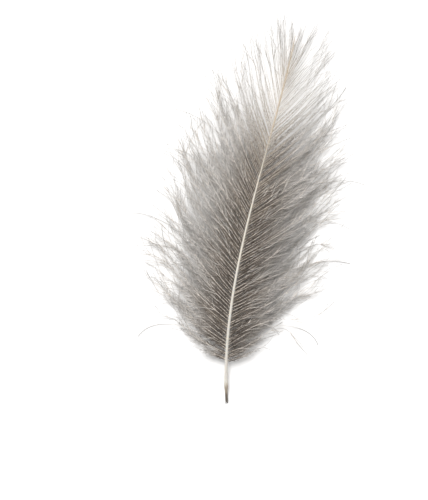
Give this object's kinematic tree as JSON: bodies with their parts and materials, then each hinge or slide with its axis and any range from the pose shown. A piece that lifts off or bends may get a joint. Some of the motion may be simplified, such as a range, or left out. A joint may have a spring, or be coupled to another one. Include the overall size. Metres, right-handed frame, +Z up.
{
  "type": "cul de canard feather",
  "caption": "Soft grey duck down feather lying flat: a pale tapering quill with loose, fluffy barbs gathered in locks on both sides.",
  "frame": {"origin": "middle of the feather's outline, on the surface it lies on", "axes": "+Y along the feather from the quill's bare end to the barb tips, +X to its right seen from above, +Z up out of the surface, through the arched side"},
  "size_m": [0.0346, 0.0601, 0.0037],
  "materials": {
    "barb": "soft, matt grey down with fine pale strands; the bare quill is smooth ivory"
  },
  "bodies": {
    "root": {"feather": "barb"}
  },
  "joints": []
}
